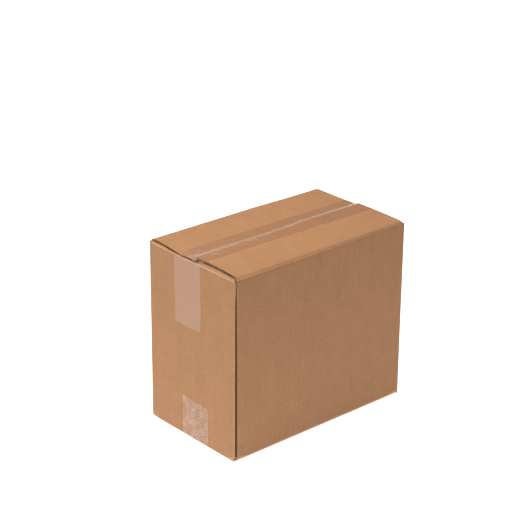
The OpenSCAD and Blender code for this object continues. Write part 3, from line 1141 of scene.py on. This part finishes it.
def rub_and_highlight_group():
    """A mask of rubbed fibres, and of a painted highlight along the upper creases: an amount that the piece
    carries, broken up by noise.
    """
    group, tree, given, out = new_group(
        "Rubbed fibres",
        [
            ("Place", "NodeSocketVector", None),
            ("Amount", "NodeSocketFloat", 0.0),
            ("Grain", "NodeSocketFloat", 1.0),
        ],
        [("Mask", "NodeSocketFloat")],
    )
    grain = tree.noise(tree.scaled(given.outputs["Place"], (360, 360, 1)), given.outputs["Grain"], 5.0, 0.65)
    patch = tree.noise(tree.scaled(given.outputs["Place"], (70, 70, 1)), given.outputs["Grain"], 3.0, 0.6)
    broken = tree.total(((grain, 0.55), (patch, 0.45)))
    reach = tree.maths("SUBTRACT", 1.0, given.outputs["Amount"])
    low = tree.maths("MULTIPLY_ADD", reach, 0.75, 0.02)
    shown = tree.maths("DIVIDE", tree.maths("SUBTRACT", broken, low), 0.30, clamp=True)
    tree.join(tree.maths("MULTIPLY", shown, given.outputs["Amount"]), out.inputs["Mask"])
    return group


def new_material(name):
    """A material, with its tree and its shader."""
    material = bpy.data.materials.new(name)
    material.use_nodes = True
    tree = Tree(material.node_tree)
    shader = material.node_tree.nodes["Principled BSDF"]
    return material, tree, shader


def place_group(tree, group, values):
    """Places a node group, and gives its outputs."""
    return tree.put("ShaderNodeGroup", values, node_tree=group).outputs


def dress(tree, shader, sheet, colour, height, strength, specular):
    """Joins a sheet of paper's roughness, and a colour and a height made of it, to the shader."""
    tree.join(colour, shader.inputs["Base Color"])
    tree.join(tree.relief(height, strength), shader.inputs["Normal"])
    tree.join(sheet["Roughness"], shader.inputs["Roughness"])
    shader.inputs["Specular IOR Level"].default_value = specular


def liner_material(finish, paper, rubbed_and_highlit):
    """The outer liner of the board, lighter where rubbed, and with a painted highlight along the upper
    creases.
    """
    material, tree, shader = new_material("kraft_liner")
    place, worn_and_highlit = tree.carried("blank_place", "Vector"), tree.carried("wear_and_highlight")
    look = {"Place": place, "Colour": rgba(finish.kraft), "Flute pitch": finish.flute_pitch}
    sheet = place_group(tree, paper, look)
    mask = place_group(tree, rubbed_and_highlit, {"Place": place, "Amount": worn_and_highlit})["Mask"]
    # Rubbed fibres, and a painted highlight on the upper creases, take the lighter colour
    colour = tree.mixed(mask, sheet["Colour"], rgba(finish.worn_and_highlit))
    height = tree.maths("ADD", sheet["Height"], tree.maths("MULTIPLY", mask, 0.04 * MM))
    dress(tree, shader, sheet, colour, height, 0.6, 0.3)
    return material


def inner_shade_material(finish, paper):
    """The inner liner, and the tab behind the glued edge: a duller paper, darkened further as painted shade
    for the glued joint's gap.
    """
    material, tree, shader = new_material("inner_liner_shaded")
    place = tree.carried("blank_place", "Vector")
    look = {"Place": place, "Colour": rgba(finish.inside), "Flute pitch": finish.flute_pitch}
    sheet = place_group(tree, paper, look)
    dress(tree, shader, sheet, sheet["Colour"], sheet["Height"], 0.6, 0.2)
    return material


def edge_material(finish, paper, name, across, least=0.0, colour=None):
    """A cut edge of the board: two liners, and the fluted medium cut across its waves or along them.

    least is how much paper shows in its hollows, whose near black is painted shade, and colour is that of a
    rubbed edge that also carries a painted highlight.
    """
    material, tree, shader = new_material(name)
    place = tree.carried("blank_place", "Vector")
    u, _, depth = tree.put("ShaderNodeSeparateXYZ", {0: place}).outputs
    look = {"Place": place, "Colour": rgba(colour or finish.cut), "Flute show": 0.0}
    sheet = place_group(tree, paper, look)
    middle = tree.maths("ABSOLUTE", tree.maths("SUBTRACT", depth, 0.5))
    liner = tree.remap(middle, 0.42, 0.46)
    if across:
        phase = tree.maths("DIVIDE", u, finish.flute_pitch)
        wave = tree.maths("SINE", tree.maths("MULTIPLY", phase, 2 * math.pi))
        off = tree.maths("SUBTRACT", depth, tree.maths("MULTIPLY_ADD", wave, 0.37, 0.5))
        medium = tree.remap(tree.maths("ABSOLUTE", off), 0.07, 0.13, 1.0, 0.0)
    else:
        wobble = tree.grain(place, (1, 160, 1))
        off = tree.maths("SUBTRACT", depth, wobble)
        medium = tree.remap(tree.maths("ABSOLUTE", off), 0.05, 0.14, 1.0, least)
    paper_here = tree.maths("MAXIMUM", liner, medium)
    # Painted shade: where no paper shows, the hollows take the near-black colour
    shown = tree.mixed(paper_here, rgba(finish.hollow_shade), sheet["Colour"])
    height = tree.maths("MULTIPLY_ADD", paper_here, 0.35 * MM, sheet["Height"])
    dress(tree, shader, sheet, shown, height, 0.7, 0.2)
    return material


def tape_material(finish):
    """Clear film: it tints what lies under it, mirrors more at a low angle, and turns milky where loose."""
    material, tree, shader = new_material("clear_film")
    place, loose = tree.carried("tape_place", "Vector"), tree.carried("loose")
    lines = tree.grain(place, (18, 900, 1), 4.0, 0.6)
    bubbles = tree.grain(place, (330, 420, 1), 4.0, 0.6)
    clouds = tree.grain(place, (90, 120, 1), 3.0, 0.5)
    height = tree.total(((lines, 0.004 * MM), (bubbles, 0.008 * MM), (clouds, 0.03 * MM)))
    bump = tree.relief(height, 0.5)
    tree.join(bump, shader.inputs["Normal"])
    tree.join(tree.remap(bubbles, 0.3, 0.7, 0.16, 0.30), shader.inputs["Roughness"])
    shader.inputs["Base Color"].default_value = rgba(finish.film)
    tree.join(tree.remap(loose, 0.0, 1.0, 0.8, 0.45), shader.inputs["Metallic"])

    front = tree.maths("SUBTRACT", 1.0, tree.put("ShaderNodeNewGeometry").outputs["Backfacing"])
    mirror = tree.put("ShaderNodeFresnel", {"IOR": finish.gloss_index, "Normal": bump}).outputs["Fac"]
    dust = tree.remap(bubbles, 0.35, 0.75, 0.0, 0.03)
    milky = tree.remap(clouds, 0.42, 0.62, 0.0, 0.22)
    haze = tree.maths("MULTIPLY_ADD", tree.maths("POWER", loose, 2.0), milky, dust)
    share = tree.maths("MULTIPLY", tree.maths("ADD", mirror, haze, clamp=True), front)
    clear = tree.put("ShaderNodeBsdfTransparent", {"Color": rgba(finish.tint)})
    both = tree.put("ShaderNodeMixShader", {0: share, 1: clear.outputs[0], 2: shader.outputs[0]})
    output = material.node_tree.nodes["Material Output"]
    tree.join(both.outputs[0], output.inputs["Surface"])
    return material


# Operators


class CARTON_OT_board(bpy.types.Operator):
    """Cuts the flat blank, folds it, and gives it thickness, cut edges and paper"""

    bl_idname = "carton.board"
    bl_label = "Fold the board"
    bl_options = {"REGISTER", "UNDO"}

    def execute(self, context):
        finish = context.scene.carton_finish
        blank = Blank(Shape(context.scene.carton_sizes))
        blank.fold()
        blank.handle()
        blank.thicken()
        paper, rubbed_and_highlit = paper_group(), rub_and_highlight_group()
        materials = [
            liner_material(finish, paper, rubbed_and_highlit),
            edge_material(finish, paper, "cut_across_flutes", True),
            edge_material(finish, paper, "cut_along_flutes", False),
            inner_shade_material(finish, paper),
            # The joint's cut edge in the lighter colour: rubbed, and partly a painted highlight on its
            # crushed edge
            edge_material(finish, paper, "cut_at_joint_highlit", False, 0.95, finish.worn_and_highlit),
        ]
        finished_object(blank.bm, "folded_board", materials, "carton")
        return {"FINISHED"}


class CARTON_OT_tape(bpy.types.Operator):
    """Lays a strip of clear tape over the upper seam and one under the lower seam"""

    bl_idname = "carton.tape"
    bl_label = "Tape the seams"
    bl_options = {"REGISTER", "UNDO"}

    def execute(self, context):
        shape, tape = Shape(context.scene.carton_sizes), context.scene.tape_sizes
        film = tape_material(context.scene.carton_finish)
        for name, node, course, outward in (
            ("upper_tape", "top_tape", UpperStrip(shape, tape), Z_AXIS),
            ("lower_tape", "bottom_tape", LowerStrip(shape, tape), -Z_AXIS),
        ):
            strip = Strip(tape, course.stops())
            strip.lay(course.where)
            strip.thicken(outward)
            finished_object(strip.bm, name, [film], node)
        return {"FINISHED"}


class CARTON_OT_stage(bpy.types.Operator):
    """Makes the floor, the lamps, the room's light and the camera"""

    bl_idname = "carton.stage"
    bl_label = "Set the stage"
    bl_options = {"REGISTER", "UNDO"}

    # The camera's place: bearing, height angle and roll in radians, then distance and target in box lengths
    BEARING, RAISE, ROLL = -2.2969, 0.4092, 0.0093
    DISTANCE, TARGET = 7.6548, (-0.0796, 0.0, 0.7193)
    FITTED_LENGTH = 0.275
    # The way that the lid mirrors the camera's line of sight
    BEHIND = (0.609, 0.686, 0.398)
    SENSOR_MM = 36
    # The lamp's place, size and colour, and the point that it faces
    KEY_LAMP = ((-0.55, 0.12, 1.52), 1.1, (1.0, 0.98, 0.94))
    LAMP_AIM = (0, 0, 0.12)
    ROOM_COLOUR = (1.0, 0.965, 0.89)
    GLOW_COLOUR = (0.96, 0.99, 1.0)
    # Half the floor's width, and how far from the carton its glow starts and stops to fade
    FLOOR_HALF, FADE = 12, (0.3, 1.1)

    def execute(self, context):
        stage, scene = context.scene.stage_lights, context.scene
        self.floor(stage)
        self.lamp("key", stage.key, *self.KEY_LAMP)
        self.room(scene, stage)
        scene.view_settings.view_transform = "Standard"
        scene.cycles.use_denoising = True
        scene.cycles.transparent_max_bounces = 16
        self.camera(scene, stage)
        return {"FINISHED"}

    def room(self, scene, stage):
        """Soft light from behind and above, with a dim patch where the lid's tape mirrors the room."""
        world = bpy.data.worlds.new("room")
        world.use_nodes = True
        tree = Tree(world.node_tree)
        way = tree.put("ShaderNodeTexCoord").outputs["Generated"]
        dot = tree.put("ShaderNodeVectorMath", {0: way, 1: self.BEHIND}, operation="DOT_PRODUCT")
        behind = dot.outputs["Value"]
        bright = tree.remap(behind, -0.4, 0.8, stage.front, stage.back)
        bright = tree.maths("MULTIPLY", bright, tree.remap(behind, 0.86, 0.94, 1.0, stage.dim / stage.back))
        backdrop = world.node_tree.nodes["Background"]
        backdrop.inputs["Color"].default_value = rgba(self.ROOM_COLOUR)
        tree.join(bright, backdrop.inputs["Strength"])
        scene.world = world

    def floor(self, stage):
        """A wide pale floor that glows, less so far from the carton."""
        bm = bmesh.new()
        bmesh.ops.create_grid(bm, x_segments=1, y_segments=1, size=self.FLOOR_HALF)
        mesh = bpy.data.meshes.new("floor")
        bm.to_mesh(mesh)
        bm.free()
        material, tree, shader = new_material("pale_floor")
        where = tree.put("ShaderNodeTexCoord").outputs["Object"]
        tone = tree.remap(tree.noise(where, 3.0, 4.0), 0.3, 0.7, 0.985, 1.0)
        bright = tree.put("ShaderNodeCombineXYZ", {0: tone, 1: tone, 2: tone}).outputs[0]
        tree.join(tree.mixed(1.0, rgba(stage.floor), bright, "MULTIPLY"), shader.inputs["Base Color"])
        shader.inputs["Roughness"].default_value = 0.9
        shader.inputs["Specular IOR Level"].default_value = 0.0
        far = tree.put("ShaderNodeVectorMath", {0: where}, operation="LENGTH").outputs["Value"]
        sent = tree.remap(far, *self.FADE, stage.near_glow, stage.far_glow)
        seen = tree.maths("SUBTRACT", 1.0, tree.put("ShaderNodeLightPath").outputs["Is Diffuse Ray"])
        more = tree.maths("MULTIPLY", seen, tree.maths("SUBTRACT", stage.seen_glow, sent))
        tree.join(tree.maths("ADD", sent, more), shader.inputs["Emission Strength"])
        shader.inputs["Emission Color"].default_value = rgba(self.GLOW_COLOUR)
        mesh.materials.append(material)
        floor = bpy.data.objects.new("floor", mesh)
        bpy.context.scene.collection.objects.link(floor)

    def lamp(self, name, power, place, size, colour):
        """An area lamp that faces the carton."""
        data = bpy.data.lights.new(name, "AREA")
        data.energy, data.size, data.color = power, size, colour
        lamp = bpy.data.objects.new(name, data)
        bpy.context.scene.collection.objects.link(lamp)
        lamp.location = place
        lamp.rotation_euler = (Vector(self.LAMP_AIM) - Vector(place)).to_track_quat("-Z", "Y").to_euler()

    def camera(self, scene, stage):
        """The camera, where it was fitted to the photo."""
        back = Vector((
            math.cos(self.RAISE) * math.cos(self.BEARING),
            math.cos(self.RAISE) * math.sin(self.BEARING),
            math.sin(self.RAISE),
        ))
        level = (-back).cross(Z_AXIS).normalized()
        above = level.cross(-back)
        right = math.cos(self.ROLL) * level + math.sin(self.ROLL) * above
        up = -math.sin(self.ROLL) * level + math.cos(self.ROLL) * above
        data = bpy.data.cameras.new("camera")
        data.lens, data.sensor_width = stage.focal, self.SENSOR_MM
        data.clip_start, data.clip_end = 0.05, 60
        camera = bpy.data.objects.new("camera", data)
        scene.collection.objects.link(camera)
        camera.matrix_world = Matrix((right, up, back)).transposed().to_4x4()
        camera.location = (Vector(self.TARGET) + back * self.DISTANCE) * self.FITTED_LENGTH
        scene.camera = camera


class CARTON_PT_panel(bpy.types.Panel):
    """Lists the sizes, the colours and the steps that build the carton"""

    bl_label = "Closed carton"
    bl_idname = "CARTON_PT_panel"
    bl_space_type = "VIEW_3D"
    bl_region_type = "UI"
    bl_category = "Carton"

    def draw(self, context):
        for step in STEPS:
            self.layout.operator(step.bl_idname)
        for name, group in GROUPS.items():
            box = self.layout.box()
            for prop in group.__annotations__:
                box.prop(getattr(context.scene, name), prop)


STEPS = (CARTON_OT_board, CARTON_OT_tape, CARTON_OT_stage)
GROUPS = {
    "carton_sizes": CartonSizes,
    "tape_sizes": TapeSizes,
    "carton_finish": CartonFinish,
    "stage_lights": StageLights,
}
CLASSES = (*GROUPS.values(), *STEPS, CARTON_PT_panel)


def register():
    for item in CLASSES:
        bpy.utils.register_class(item)
    for name, group in GROUPS.items():
        setattr(bpy.types.Scene, name, PointerProperty(type=group))


def unregister():
    for name in GROUPS:
        delattr(bpy.types.Scene, name)
    for item in reversed(CLASSES):
        bpy.utils.unregister_class(item)


def main():
    register()
    bpy.ops.carton.board()
    bpy.ops.carton.tape()
    bpy.ops.carton.stage()


if __name__ == "__main__":
    main()
